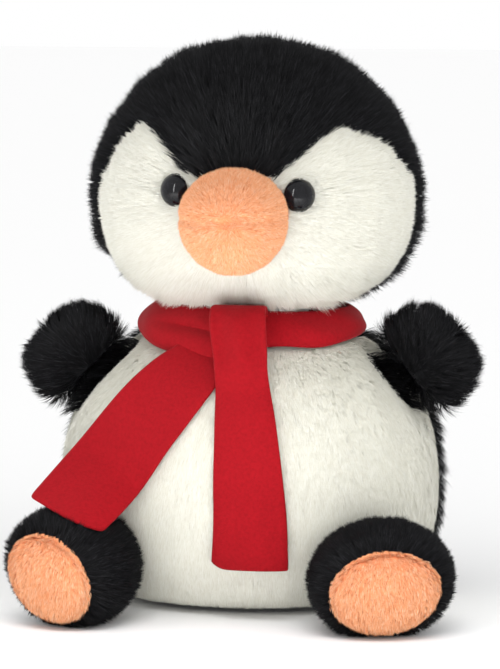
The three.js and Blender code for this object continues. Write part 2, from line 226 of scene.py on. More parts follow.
def mottled(name, colours, scale, roughness=0.95, specular=0.2, bump=0.3, bump_scale=None, sheen=0.0):
    """A cloth or fibre surface: two colours mixed by fine noise, and a bump of the same kind."""
    mat, shader = material(name, colours[0], roughness, specular, sheen)
    tree = mat.node_tree
    place = tree.nodes.new("ShaderNodeTexCoord")
    noise = tree.nodes.new("ShaderNodeTexNoise")
    noise.inputs["Scale"].default_value = scale
    noise.inputs["Detail"].default_value = 6
    noise.inputs["Roughness"].default_value = 0.65
    tree.links.new(place.outputs["Object"], noise.inputs["Vector"])
    ramp = tree.nodes.new("ShaderNodeValToRGB")
    ramp.color_ramp.elements[0].position = 0.3
    ramp.color_ramp.elements[1].position = 0.72
    ramp.color_ramp.elements[0].color = (*colours[0], 1)
    ramp.color_ramp.elements[1].color = (*colours[-1], 1)
    tree.links.new(noise.outputs["Fac"], ramp.inputs["Fac"])
    tree.links.new(ramp.outputs["Color"], shader.inputs["Base Color"])
    grain = tree.nodes.new("ShaderNodeTexNoise")
    grain.inputs["Scale"].default_value = bump_scale or scale * 3
    grain.inputs["Detail"].default_value = 4
    tree.links.new(place.outputs["Object"], grain.inputs["Vector"])
    relief = tree.nodes.new("ShaderNodeBump")
    relief.inputs["Strength"].default_value = bump
    relief.inputs["Distance"].default_value = 0.4 * MM
    tree.links.new(grain.outputs["Fac"], relief.inputs["Height"])
    tree.links.new(relief.outputs["Normal"], shader.inputs["Normal"])
    return mat


def strand_shades(name, colours, roughness, specular):
    """One plain material for each shade of strand, with the share of strands it has."""
    shades = []
    for number, (colour, share) in enumerate(colours, 1):
        mat, _ = material(f"{name}_{number}", colour, roughness, specular)
        shades.append((mat, share))
    return shades


def fleece():
    """Brushed red cloth: a fine weave under a short nap, with faint cloudy shading."""
    mat = mottled("scarf_cloth", (linear(140, 6, 17), linear(160, 11, 24)), 900,
                  roughness=0.85, specular=0.15, bump=0.25, bump_scale=2200, sheen=0.08)
    shader = mat.node_tree.nodes["Principled BSDF"]
    shader.inputs["Sheen Roughness"].default_value = 0.4
    shader.inputs["Sheen Tint"].default_value = (1.0, 0.35, 0.35, 1)
    return mat


BLACK = strand_shades("black_strand", (
    ((0.0035, 0.0035, 0.0042), 0.45),
    ((0.006, 0.006, 0.007), 0.30),
    ((0.011, 0.011, 0.0125), 0.18),
    ((0.024, 0.024, 0.027), 0.07),
), roughness=0.55, specular=0.10)
WHITE = strand_shades("white_strand", (
    ((0.790, 0.780, 0.695), 0.45),
    ((0.740, 0.725, 0.635), 0.25),
    ((0.835, 0.830, 0.760), 0.30),
), roughness=0.8, specular=0.15)
ORANGE = strand_shades("orange_strand", (
    (linear(252, 182, 134), 0.42),
    (linear(244, 166, 116), 0.28),
    (linear(255, 206, 168), 0.24),
    (linear(214, 126, 80), 0.06),
), roughness=0.8, specular=0.15)

SKIN_BLACK = mottled("black_backing", ((0.006, 0.006, 0.007), (0.014, 0.014, 0.016)), 500)
SKIN_WHITE = mottled("white_backing", ((0.74, 0.73, 0.645), (0.79, 0.78, 0.70)), 500)
SKIN_ORANGE = mottled("orange_backing", (linear(240, 152, 102), linear(252, 176, 128)), 700)
SCARF_CLOTH = fleece()
FIBRE = mottled("fibre_filling", ((0.80, 0.80, 0.78), (0.93, 0.93, 0.91)), 260, bump=0.8, bump_scale=500)
POUCH = mottled("pouch_cloth", ((0.55, 0.52, 0.45), (0.66, 0.63, 0.55)), 400, bump=0.5, bump_scale=1500)
WASHER = mottled("washer_plastic", ((0.70, 0.70, 0.69), (0.78, 0.78, 0.77)), 120,
                 roughness=0.45, specular=0.5, bump=0.05)
EYE_PLASTIC = mottled("eye_plastic", ((0.004, 0.004, 0.005), (0.010, 0.010, 0.012)), 90,
                      roughness=0.06, specular=0.22, bump=0.01)


# ---------------------------------------------------------------- skins
def wrapped(name, nodes, centre, cells, relax):
    """A closed quad mesh round some CAD nodes: each point lies where a ray from outside first meets them."""
    work = bmesh.new()
    bmesh.ops.create_cube(work, size=2)
    bmesh.ops.subdivide_edges(work, edges=work.edges[:], cuts=cells - 1, use_grid_fill=True)
    tree = node_tree(*nodes)
    middle = Vector(centre) + Vector((OFF_SEAM, OFF_SEAM, OFF_SEAM))
    for vert in work.verts:
        ray = Vector(math.tan(c * math.pi / 4) for c in vert.co).normalized()
        hit = tree.ray_cast(middle + ray * RAY_START, -ray, RAY_START + 0.01)[0]
        vert.co = hit if hit else tree.find_nearest(middle + ray * 0.05)[0]
    for _ in range(relax):
        bmesh.ops.smooth_vert(work, verts=work.verts[:], factor=0.5,
                              use_axis_x=True, use_axis_y=True, use_axis_z=True)
    bmesh.ops.recalc_face_normals(work, faces=work.faces[:])
    mesh = bpy.data.meshes.new(name)
    work.to_mesh(mesh)
    work.free()
    return link(bpy.data.objects.new(name, mesh))


def inflated(obj, near_seam, cap):
    """Swells a mesh as cloth under pressure, held at its seams. Points move outwards, by at most cap."""
    start, normals = mesh_points(obj.data), mesh_normals(obj.data)
    pins = obj.vertex_groups.new(name="seams")
    for index, weight in enumerate(near_seam):
        if weight > 0.02:
            pins.add([index], float(weight), "REPLACE")
    cloth = obj.modifiers.new("cloth", "CLOTH")
    settings = cloth.settings
    settings.quality = 4
    settings.mass = 0.2
    settings.use_pressure = True
    settings.uniform_pressure_force = CLOTH_PRESSURE
    settings.vertex_group_mass = "seams"
    settings.effector_weights.gravity = 0
    cloth.collision_settings.use_collision = False
    for number in range(1, CLOTH_FRAMES + 1):
        scene.frame_set(number)
    applied(obj)
    moved = mesh_points(obj.data) - start
    moved -= normals * np.minimum((moved * normals).sum(axis=1), 0)[:, None]
    size = np.linalg.norm(moved, axis=1, keepdims=True)
    moved *= np.minimum(1, cap / np.maximum(size, 1e-9))
    set_points(obj.data, start + moved)
    obj.vertex_groups.clear()
    scene.frame_set(1)


def stuffed_skin(name, body, nodes, panels, centre, cells, swell=1.4 * MM, groove=0.6 * MM,
                 seam_width=3.5 * MM, depth=SKIN_DEPTH, relax=6):
    """The sewn cover of one stuffed part, held in at the seams between its panels and swollen between them.

    Returns the cover, a search tree for each panel, and the nearest panel's number for each of its points.
    """
    obj = wrapped(name, nodes, centre, cells, relax)
    points, normals = mesh_points(obj.data), mesh_normals(obj.data)
    set_points(obj.data, points - normals * (depth + swell * 0.5))
    trees = [node_tree(*group) for group in panels]
    _, seam = nearest_panels(trees, mesh_points(obj.data))
    near_seam = 1 - smooth(seam, HELD_SEAM, seam_width)
    inflated(obj, near_seam, swell)
    subdivide = obj.modifiers.new("subdivide", "SUBSURF")
    subdivide.levels = subdivide.render_levels = 1
    applied(obj)
    points, normals = mesh_points(obj.data), mesh_normals(obj.data)
    zone, seam = nearest_panels(trees, points)
    sunk = groove * (1 - smooth(seam, 0.0, GROOVE_WIDTH))
    set_points(obj.data, points - normals * sunk[:, None])
    shade_smooth(obj.data)
    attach(obj, body)
    return obj, trees, zone


def paint_zones(obj, zone, panel_materials):
    """Gives each face the material of its panel."""
    materials = list(dict.fromkeys(panel_materials))
    for mat in materials:
        obj.data.materials.append(mat)
    index = np.array([materials.index(mat) for mat in panel_materials])
    for face in obj.data.polygons:
        face.material_index = int(index[zone[face.vertices[0]]])


# ---------------------------------------------------------------- fur
def scatter(obj, rng, per_mm2):
    """Random places on a mesh, evenly by area: points and normals."""
    mesh = obj.data
    mesh.calc_loop_triangles()
    corners = np.zeros(len(mesh.loop_triangles) * 3, int)
    mesh.loop_triangles.foreach_get("vertices", corners)
    corners = corners.reshape(-1, 3)
    points, normals = mesh_points(mesh), mesh_normals(mesh)
    a, b, c = (points[corners[:, i]] for i in range(3))
    area = np.linalg.norm(np.cross(b - a, c - a), axis=1) / 2
    count = int(area.sum() * 1e6 * per_mm2)
    chosen = corners[rng.choice(len(area), count, p=area / area.sum())]
    u, v = rng.random(count), rng.random(count)
    over = u + v > 1        # outside the triangle, so turned back into it
    u[over], v[over] = 1 - u[over], 1 - v[over]
    weights = np.stack([1 - u - v, u, v], axis=1)[:, :, None]
    return (points[chosen] * weights).sum(axis=1), unit((normals[chosen] * weights).sum(axis=1))


# For long and short strands: how far along its cross lines and its tip are, and its width at the cross lines.
LONG = (np.array([0.0, 0.38, 0.72, 1.0]), np.array([1.0, 0.92, 0.6]))
SHORT = (np.array([0.0, 0.5, 1.0]), np.array([1.0, 0.85]))


def ribbon_faces(lines):
    """The triangles of one strand: a strip between its cross lines, then the tip."""
    faces = []
    for k in range(lines - 1):
        a = 2 * k
        faces += [(a, a + 1, a + 3), (a, a + 3, a + 2)]
    return np.array([*faces, (2 * lines - 2, 2 * lines - 1, 2 * lines)])


def strands(name, body, slot, roots, normals, comb, length, lean, rng, shades, width, spread, clump,
            curl=0.16, droop=0.0, softness=0.75, kind=LONG, uneven=0.13, turn=0.45, shadow=True):
    """Fur as thin tapered ribbons that grow in clumps. roots to lean have one row for each clump.

    lean is the angle from the skin's normal, which grows towards the tip, and comb is the way the fur lies.
    spread is the radius of a clump at its roots, and clump is how much of it is gone at the tips. curl,
    uneven and turn say how much strands differ in direction, length and twist, and droop how far tips sink.
    softness is the share of the skin's own normal in how a strand is lit.
    """
    steps, taper = kind
    lines = len(taper)
    count = len(roots) * PER_CLUMP
    pick = np.repeat(np.arange(len(roots)), PER_CLUMP)
    n, t = normals[pick], comb[pick]
    # Where each strand stands in its clump, and how long, bent and turned it is.
    side = np.cross(n, t)
    radius = spread * np.sqrt(rng.random(count))
    around = rng.random(count) * 2 * math.pi
    offset = side * (radius * np.cos(around))[:, None] + t * (radius * np.sin(around))[:, None]
    size = length[pick] * rng.normal(1, uneven, count).clip(0.6, 1.4)
    bend = lean[pick] + rng.normal(0, 0.08, count)
    yaw = rng.normal(0, curl, len(roots))[pick] + rng.normal(0, curl * 0.5, count)
    t = unit(t * np.cos(yaw)[:, None] + side * np.sin(yaw)[:, None])
    hold = clump * rng.uniform(0.5, 1.0, count)
    # The middle line of each strand.
    path = np.zeros((count, lines + 1, 3))
    run = roots[pick] + offset
    path[:, 0] = run
    for k in range(1, lines + 1):
        middle = (steps[k] + steps[k - 1]) / 2
        angle = bend * (0.45 + 0.75 * middle)
        step = n * np.cos(angle)[:, None] + t * np.sin(angle)[:, None]
        step[:, 2] -= droop * middle
        run = run + unit(step) * (size * (steps[k] - steps[k - 1]))[:, None]
        path[:, k] = run - offset * (hold * steps[k] ** 1.3)[:, None]
    path[:, :, 2] = np.maximum(path[:, :, 2], FUR_FLOOR)
    # Its width, across that line, and the normals that light it.
    along = unit(path[:, 1:] - path[:, :-1])
    along = np.concatenate([along, along[:, -1:]], axis=1)
    across = unit(np.cross(along, n[:, None, :]))
    raised = np.cross(across, along)
    twist = rng.normal(0, turn, count)
    across = across * np.cos(twist)[:, None, None] + raised * np.sin(twist)[:, None, None]
    facing = unit(np.cross(across, along))
    facing *= np.sign((facing * n[:, None, :]).sum(axis=2, keepdims=True) + 1e-9)
    look = unit(facing * (1 - softness) + n[:, None, :] * softness)
    half = width * rng.uniform(0.75, 1.2, count) / 2
    verts, turned = np.zeros((count, 2 * lines + 1, 3)), np.zeros((count, 2 * lines + 1, 3))
    for k in range(lines):
        reach = across[:, k] * (half * taper[k])[:, None]
        verts[:, 2 * k] = path[:, k] - reach
        verts[:, 2 * k + 1] = path[:, k] + reach
        turned[:, 2 * k] = turned[:, 2 * k + 1] = look[:, k]
    verts[:, -1] = path[:, -1]
    turned[:, -1] = look[:, -1]
    # A shade for each strand, and as many pieces as the most triangles ask for.
    share = np.array([s for _, s in shades])
    shade = rng.choice(len(shades), count, p=share / share.sum())
    blocks = max(1, math.ceil(count * (2 * lines - 1) / MOST_TRIANGLES))
    for block in range(blocks):
        part = slice(block * count // blocks, (block + 1) * count // blocks)
        label = name if blocks == 1 else f"{name}_{block + 1}"
        obj = ribbon_mesh(label, verts[part], turned[part], shade[part], shades)
        obj.visible_shadow = shadow
        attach(obj, body)


def ribbon_mesh(name, verts, normals, shade, shades):
    """A mesh object from the points, normals and shade of each strand."""
    count, points_each = verts.shape[:2]
    one = ribbon_faces(points_each // 2)
    faces = (one[None] + points_each * np.arange(count)[:, None, None]).reshape(-1, 3)
    mesh = bpy.data.meshes.new(name)
    mesh.vertices.add(count * points_each)
    mesh.vertices.foreach_set("co", verts.astype(np.float32).ravel())
    mesh.loops.add(len(faces) * 3)
    mesh.loops.foreach_set("vertex_index", faces.astype(np.int32).ravel())
    mesh.polygons.add(len(faces))
    mesh.polygons.foreach_set("loop_start", np.arange(0, len(faces) * 3, 3, dtype=np.int32))
    mesh.update(calc_edges=True)
    shade_smooth(mesh)
    for mat, _ in shades:
        mesh.materials.append(mat)
    mesh.polygons.foreach_set("material_index", np.repeat(shade, len(one)).astype(np.int32))
    mesh.normals_split_custom_set_from_vertices(normals.reshape(-1, 3).astype(np.float32))
    return link(bpy.data.objects.new(name, mesh))


# ---------------------------------------------------------------- scarf
def spline(rows, count):
    """Rows of numbers, made smooth and more: a Catmull-Rom curve through them."""
    rows = np.asarray(rows, float)
    padded_rows = np.vstack([2 * rows[0] - rows[1], rows, 2 * rows[-1] - rows[-2]])
    place = np.linspace(0, len(rows) - 1, count)
    index = np.minimum(place.astype(int), len(rows) - 2)
    t = (place - index)[:, None]
    p0, p1, p2, p3 = (padded_rows[index + k] for k in range(4))
    square = (2 * p0 - 5 * p1 + 4 * p2 - p3) * t ** 2
    cube = (3 * p1 - p0 - 3 * p2 + p3) * t ** 3
    return 0.5 * (2 * p1 + (p2 - p0) * t + square + cube)


def cloth_sheet(name, grid, closed=False):
    """A sheet of cloth through a grid of points (rows, columns, 3), given thickness and soft round edges.

    In a closed one the last row joins the first.
    """
    rows, columns = grid.shape[:2]
    faces = []
    for i in range(rows if closed else rows - 1):
        for j in range(columns - 1):
            a, b = i * columns + j, ((i + 1) % rows) * columns + j
            faces.append((a, a + 1, b + 1, b))
    mesh = bpy.data.meshes.new(name)
    mesh.from_pydata([tuple(p) for p in grid.reshape(-1, 3)], [], faces)
    obj = link(bpy.data.objects.new(name, mesh))
    solid = obj.modifiers.new("thickness", "SOLIDIFY")
    solid.thickness = SCARF_THICKNESS
    solid.offset = 0
    subdivide = obj.modifiers.new("round", "SUBSURF")
    subdivide.levels = subdivide.render_levels = 1
    applied(obj)
    shade_smooth(obj.data)
    obj.data.materials.clear()
    obj.data.materials.append(SCARF_CLOTH)
    return obj


body_tree = node_tree("belly_panel", "back_panel_left", "back_panel_right", "base_panel", "body_stuffing")
flipper_tree = node_tree("flipper_left_front", "flipper_left_back",
                         "flipper_right_front", "flipper_right_back")
rest_tree = node_tree("belly_panel", "back_panel_left", "back_panel_right",
                      "foot_right_upper", "foot_right_sole")


def front_depth(tree, x, z):
    """The y where a ray from the front first meets a tree, in metres."""
    hit = tree.ray_cast(Vector((x, -RAY_START, z)), Vector((0, 1, 0)), 2 * RAY_START)[0]
    return hit.y if hit else 0.0


def at_shoulder(points):
    """Which points are near enough to a flipper to be covered in black fur."""
    return distances(flipper_tree, points) < SHOULDER


# y, z, and the x of the left and right edges in millimetres, from under the chin down to the hem.
# Where y is 0 the cloth lies on the belly.
FRONT_TAIL = (
    (-31, 101.5, -7.5, 9), (-37, 105.0, -8.8, 9.4), (-43, 105.6, -9.4, 9.8), (-47.5, 102.5, -9.2, 10.4),
    (-50.3, 97, -8.4, 11), (-52, 91, -7.2, 11.6), (-53.6, 85, -6.3, 12), (0, 78, -5.9, 13.2),
    (0, 70, -5.7, 15.4), (0, 60, -5.5, 17.2), (0, 50, -5.4, 18.6), (0, 40, -5.4, 19.5),
    (0, 30, -5.6, 20.1), (0, 23, -6.2, 20.3), (0, 18.5, -6.4, 20.3),
)
# x and z of the outer edge, then of the inner edge in millimetres, from under the band down to the end.
SIDE_TAIL = (
    (-19, 95, -4, 87), (-22, 92, -5.5, 81), (-27.5, 88.6, -9, 75.5), (-34, 83.3, -14.5, 67.8),
    (-40.6, 76.6, -22, 57.5), (-49.3, 66.2, -28.6, 47.5), (-58.5, 54.6, -34.5, 39.5), (-68, 42.5, -41, 32.5),
)


def front_tail():
    """The front end of the scarf, which comes from under the chin, over the knot, and down the belly."""
    rows = []
    for y, z, left, right in FRONT_TAIL:
        if y == 0:
            on_belly = min(front_depth(body_tree, x * MM, z * MM) for x in (left, (left + right) / 2, right))
            y = on_belly / MM - 3.6 - 1.2 * smooth(z, 55, 85)
        rows.append((y, z, left, right))
    across = np.linspace(0, 1, 13)
    lines = spline(rows, 44)
    grid = np.zeros((len(lines), len(across), 3))
    for i, (y, z, left, right) in enumerate(lines):
        x = left + (right - left) * across
        middle = (left + right) / 2
        # The edges lie back round the belly, long waves run down the cloth, and it is pinched over the knot.
        bow = (x - middle) ** 2 / 95
        wave = 0.9 * math.sin(z / 5.2 + 0.6) * smooth(60 - z, 0, 18) + 0.6 * np.sin(z / 8.5 + 3.5 * across)
        pinch = 1.3 * smooth(z, 84, 92) * np.sin(across * math.pi * 3) * (1 - smooth(z, 101, 106))
        grid[i] = np.stack([x, y + bow + wave * (1 - smooth(z, 82, 92)) + pinch, np.full_like(x, z)], axis=1)
    # The hem's corner on the penguin's right is cut round.
    corner = smooth(np.arange(len(lines)), len(lines) - 4, len(lines) - 1)
    grid[:, :, 2] += corner[:, None] * 2.6 * (1 - smooth(across, 0.0, 0.18))[None] ** 2
    obj = cloth_sheet("scarf_front_tail", grid * MM)
    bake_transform(obj)
    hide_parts("scarf_tail_front", "scarf_knot")
    return obj


def side_tail():
    """The other end, which slants across the belly from under the neck band and lies on the right foot."""
    across = np.linspace(0, 1, 15)
    lines = spline(SIDE_TAIL, 40)
    grid = np.zeros((len(lines), len(across), 3))
    for i, (x0, z0, x1, z1) in enumerate(lines):
        part = i / (len(lines) - 1)
        for j, u in enumerate(across):
            x, z = x0 + (x1 - x0) * u, z0 + (z1 - z0) * u
            y = front_depth(rest_tree if part > 0.85 else body_tree, x * MM, min(z, 91) * MM) / MM
            # It lies on the fur, higher on the foot, with a fold under the band and waves further down.
            lift = 2.6 + 1.6 * smooth(part, 0.8, 1.0)
            fold = 2.4 * math.exp(-((u - 0.62) / 0.10) ** 2) * (1 - smooth(part, 0.05, 0.30))
            wave = 0.7 * math.sin(part * 13 + 2.5 * u) * smooth(part, 0.2, 0.5)
            grid[i, j] = (x, y - lift + fold + wave, z)
    # Stiff cloth bridges hollows: it falls back only so fast from the foot up, and from the inner edge out.
    for i in range(len(lines) - 2, 0, -1):
        rise = grid[i, :, 2] - grid[i + 1, :, 2]
        grid[i, :, 1] = np.minimum(grid[i, :, 1], grid[i + 1, :, 1] + 1.6 * rise)
    for j in range(len(across) - 2, -1, -1):
        run = grid[:, j + 1, 0] - grid[:, j, 0]
        grid[:, j, 1] = np.minimum(grid[:, j, 1], grid[:, j + 1, 1] + 0.7 * run)
    for _ in range(4):
        grid[1:-1, :, 1] = (grid[:-2, :, 1] + 2 * grid[1:-1, :, 1] + grid[2:, :, 1]) / 4
        grid[:, 1:-1, 1] = (grid[:, :-2, 1] + 2 * grid[:, 1:-1, 1] + grid[:, 2:, 1]) / 4
    obj = cloth_sheet("scarf_side_tail", grid * MM)
    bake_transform(obj)
    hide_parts("scarf_tail_side")
    return obj


# Angle round the neck in degrees from the front towards the left side, then in millimetres the lower height,
# the upper height and how far the roll puffs out.
BAND = (
    (-180, 93, 102, 2.5), (-130, 93.5, 102, 2), (-95, 94.2, 103, 1.8), (-65, 92.6, 104.5, 3),
    (-40, 90, 105, 3.8), (-22, 88.4, 104.5, 3.4), (-8, 87.5, 103.5, 3), (6, 91, 103, 2.4),
    (20, 92, 103, 2.2), (40, 91.2, 102.5, 2.2), (62, 92.4, 102.5, 2.2), (92, 93.4, 102, 1.9),
    (130, 93, 102, 2.2), (180, 93, 102, 2.5),
)
# Height and radius of the chest and neck that the band lies on, in millimetres.
CHEST = ((59, 65), (69, 61.5), (77, 56.5), (84, 50), (89, 43.5), (92.8, 38), (97.5, 33.5), (120, 33.5))


def neck_band():
    """The scarf's turn round the neck: a soft flattened roll, tucked in under the head."""
    heights = [z for z, _ in CHEST]
    radii = [r for _, r in CHEST]
    lines = spline(BAND, 121)[:-1]
    across = np.linspace(0, 1, 15)
    grid = np.zeros((len(lines), len(across), 3))
    for i, (angle, low, high, puff) in enumerate(lines):
        a = math.radians(angle)
        # Less deep than wide, most so behind, and a little wider on the penguin's right.
        deep = 0.90 if abs(angle) < 90 else 0.82
        wide = 0.965 if angle > 0 else 1.035
        edge = np.interp(low, heights, radii) + 0.7
        for j, v in enumerate(across):
            z = low + (high - low) * v
            r = edge + (33 - edge) * v ** 1.6 + puff * math.sin(math.pi * v ** 0.8) ** 0.8
            # A crease where the side tail leaves the band, and small wrinkles all along.
            crease = math.exp(-((v - 0.56) / 0.07) ** 2) * math.exp(-((angle + 22) / 17) ** 2)
            wrinkle = 0.5 * math.sin(angle / 6.5 + 5 * v) * math.sin(math.pi * v)
            r = r - 3.2 * crease + wrinkle
            grid[i, j] = (r * math.sin(a) * wide, -r * math.cos(a) * deep, z)
    obj = cloth_sheet("scarf_neck_band", grid * MM, closed=True)
    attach(obj, "torso")
    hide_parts("scarf_band")
    return obj


# ---------------------------------------------------------------- build: covers
head_skin, head_trees, head_zone = stuffed_skin(
    "head_cover", "head",
    ("head_hood_left", "head_hood_right", "head_gusset", "face_panel_left", "face_panel_right",
     "head_base_panel", "head_stuffing"),
    (("face_panel_left",), ("face_panel_right",), ("head_hood_left",), ("head_hood_right",),
     ("head_gusset",), ("head_base_panel",)),
    centre=(0, 0, 0.148), cells=30)
paint_zones(head_skin, head_zone, (SKIN_WHITE, SKIN_WHITE, SKIN_BLACK, SKIN_BLACK, SKIN_BLACK, SKIN_BLACK))
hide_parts("head_hood_left", "head_hood_right", "head_gusset", "face_panel_left",
            "face_panel_right", "head_base_panel")

body_skin, body_trees, body_zone = stuffed_skin(
    "body_cover", "torso",
    ("belly_panel", "back_panel_left", "back_panel_right", "base_panel", "body_stuffing"),
    (("belly_panel",), ("back_panel_left",), ("back_panel_right",), ("base_panel",)),
    centre=(0, 0, 0.045), cells=34)
body_zone[at_shoulder(mesh_points(body_skin.data))] = 1
paint_zones(body_skin, body_zone, (SKIN_WHITE, SKIN_BLACK, SKIN_BLACK, SKIN_BLACK))
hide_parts("belly_panel", "back_panel_left", "back_panel_right", "base_panel")

beak_skin, _, _ = stuffed_skin(
    "beak_cover", "head", ("beak_upper", "beak_lower"), (("beak_upper",), ("beak_lower",)),
    centre=(0, -0.055, MOUTH_HEIGHT), cells=34, swell=0.8 * MM, groove=0.7 * MM, seam_width=1.4 * MM,
    depth=0.0, relax=12)
beak_skin.data.materials.append(SKIN_ORANGE)
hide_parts("beak_upper", "beak_lower")

side_parts = {}
for side in ("left", "right"):
    low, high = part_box(f"flipper_{side}_front")
    flipper, _, _ = stuffed_skin(
        f"flipper_{side}_cover", f"flipper_{side}", (f"flipper_{side}_front", f"flipper_{side}_back"),
        ((f"flipper_{side}_front",), (f"flipper_{side}_back",)),
        centre=((low.x + high.x) / 2, high.y, (low.z + high.z) / 2), cells=22, swell=1 * MM,
        depth=0.3 * MM, relax=2)
    flipper.data.materials.append(SKIN_BLACK)
    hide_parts(f"flipper_{side}_front", f"flipper_{side}_back")
    low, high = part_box(f"foot_{side}_upper")
    foot, foot_trees, foot_zone = stuffed_skin(
        f"foot_{side}_cover", f"foot_{side}", (f"foot_{side}_upper", f"foot_{side}_sole"),
        ((f"foot_{side}_upper",), (f"foot_{side}_sole",)),
        centre=((low.x + high.x) / 2, -0.064, (low.z + high.z) / 2), cells=22, swell=1 * MM)
    paint_zones(foot, foot_zone, (SKIN_BLACK, SKIN_ORANGE))
    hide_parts(f"foot_{side}_upper", f"foot_{side}_sole")
    side_parts[side] = (flipper, foot, foot_trees)

band = neck_band()
front = front_tail()
side_cloth = side_tail()
scarf_tree = search_tree(band.data, front.data, side_cloth.data)


# ---------------------------------------------------------------- build: fur
def clear_of_scarf(roots, normals, comb, length, lean):
    """Shortens fur that would come up through the scarf, by a ray up from the skin and one along the fur.

    A ray that meets the scarf allows fur as long as a share of the distance to it.
    """
    length = length.copy()
    lie = unit(normals * np.cos(lean * 0.8)[:, None] + comb * np.sin(lean * 0.8)[:, None])
    for i in range(len(roots)):
        start = Vector(roots[i])
        for ray, share in ((normals[i], 1.3), (lie[i], 0.85)):
            hit = scarf_tree.ray_cast(start, Vector(ray), float(length[i]) * 1.1)[3]
            if hit is not None:
                length[i] = max(0.8 * MM, min(length[i], hit * share))
    return length


def grow(name, obj, body, slot, keep, comb, length, lean, shades, density, seed, under_scarf=False, **look):
    """Scatters clumps over a skin and grows fur where keep() says so. Each rule takes points and normals."""
    rng = np.random.default_rng(SEED + seed)
    points, normals = scatter(obj, rng, density / PER_CLUMP)
    kept = keep(points, normals)
    points, normals = points[kept], normals[kept]
    way = along_surface(comb(points, normals), normals)
    size = length(points, normals)
    angle = lean(points, normals)
    if under_scarf:
        size = clear_of_scarf(points, normals, way, size, angle)
    strands(name, body, slot, points, normals, way, size, angle, rng, shades, **look)


def from_beak(points, normals):
    """Head fur runs away from the beak over the face and crown, then down the back of the head."""
    away = unit(points - BEAK_MIDDLE)
    down = np.array([0.0, 0.3, -1.0])
    share = smooth(points[:, 1], 0.000, 0.040)[:, None]
    return away * (1 - share) + down * share


def even(value):
    """The same value everywhere."""
    return lambda points, normals: np.full(len(points), float(value))


def beak_gap(points):
    """How far a point on the face is from the rim of the beak, about."""
    flat = (points - BEAK_MIDDLE)[:, [0, 2]] / (BEAK_WIDTH * MM)
    flat[:, 1] *= np.where(flat[:, 1] < 0, BEAK_WIDTH / BEAK_DROP, BEAK_WIDTH / BEAK_RISE)
    near = (np.linalg.norm(flat, axis=1) - 1) * BEAK_REACH * MM
    return np.where(points[:, 1] < -0.02, near, 0.05)


def off_eyes(points):
    """How far a point is from the rim of the nearer eye."""
    gaps = [np.linalg.norm(points - np.array(place), axis=1) - EYE_RIM for _, place in EYES]
    return np.min(gaps, axis=0)


def head_keep(white):
    """White fur on the two face panels, or black fur on all others; none under the beak, eyes or neck.

    No white fur grows in a narrow strip over the beak, where the black forelock comes down.
    """
    def keep(points, normals):
        zone, _ = nearest_panels(head_trees, points)
        chosen = (zone < 2) == white
        by_neck = (np.hypot(points[:, 0], points[:, 1]) < NECK_RADIUS) | (points[:, 1] < -0.015)
        hidden = (zone == 5) & by_neck
        forelock = white & (np.abs(points[:, 0]) < 9 * MM) & (points[:, 2] > BEAK_MIDDLE[2])
        return chosen & ~hidden & ~forelock & (beak_gap(points) > -0.5 * MM) & (off_eyes(points) > 0)
    return keep


def face_length(points, normals):
    """Short by the beak and eyes, but not between them, and long and ragged under the chin."""
    off_beak = smooth(beak_gap(points), 0, 16 * MM)
    off_eye = smooth(off_eyes(points), 0, 6 * MM)
    chin = smooth(CHIN_HEIGHT - points[:, 2], 0, 0.012) * smooth(-points[:, 1], 0.005, 0.03)
    inner = (1 - off_eye) * (1 - off_beak)
    size = 2.2 + 2.2 * off_beak * (0.4 + 0.6 * off_eye) + 1.6 * inner + 4.6 * chin
    return size * MM * (1 + 0.03 * ripple(points, 0.012, 3) + 0.22 * chin * ripple(points, 0.005, 8))


def face_lean(points, normals):
    """Flat on the face, but standing up round the eyes."""
    return 0.6 + 0.52 * smooth(off_eyes(points), 0, 4 * MM)


def crown_length(points, normals):
    return 6.6 * MM * (1 + 0.12 * ripple(points, 0.014, 4))


grow("head_fur_black", head_skin, "head", "black_fur", head_keep(False), from_beak, crown_length, even(0.8),
     BLACK, density=6.5, seed=1, width=0.20 * MM, clump=0.35, spread=0.9 * MM)
grow("head_fur_white", head_skin, "head", "white_fur", head_keep(True), from_beak, face_length, face_lean,
     WHITE, density=9.5, seed=2, width=0.30 * MM, clump=0.05, spread=1.3 * MM, curl=0.08, kind=SHORT,
     softness=1.0, droop=0.15, uneven=0.08, turn=0.2, shadow=False)


def body_keep(white):
    """White fur on the belly off the shoulders, or black fur elsewhere; none underneath or in the collar."""
    def keep(points, normals):
        zone, _ = nearest_panels(body_trees, points)
        chosen = ((zone == 0) & ~at_shoulder(points)) == white
        under = (zone == 3) | ((normals[:, 2] < -0.75) & (points[:, 2] < 2.5 * MM))
        top = (points[:, 2] > COLLAR_HEIGHT) & (np.hypot(points[:, 0], points[:, 1]) < COLLAR_RADIUS)
        return chosen & ~under & ~top
    return keep


def downward(points, normals):
    out = points * np.array([1, 1, 0])
    return np.array([0.0, 0.0, -1.0]) + unit(out) * 0.15


def belly_length(points, normals):
    """Even, but short at the seat and where the flippers' fur lies over it."""
    beside = 0.2 + 0.8 * smooth(distances(flipper_tree, points), SHOULDER, SHOULDER + 6 * MM)
    by_seat = 0.45 + 0.55 * smooth(points[:, 2], 0, 0.012)
    return beside * 4.0 * MM * (1 + 0.03 * ripple(points, 0.015, 5)) * by_seat


def back_length(points, normals):
    return 6.8 * MM * (1 + 0.12 * ripple(points, 0.015, 6)) * (0.4 + 0.6 * smooth(points[:, 2], 0, 0.014))


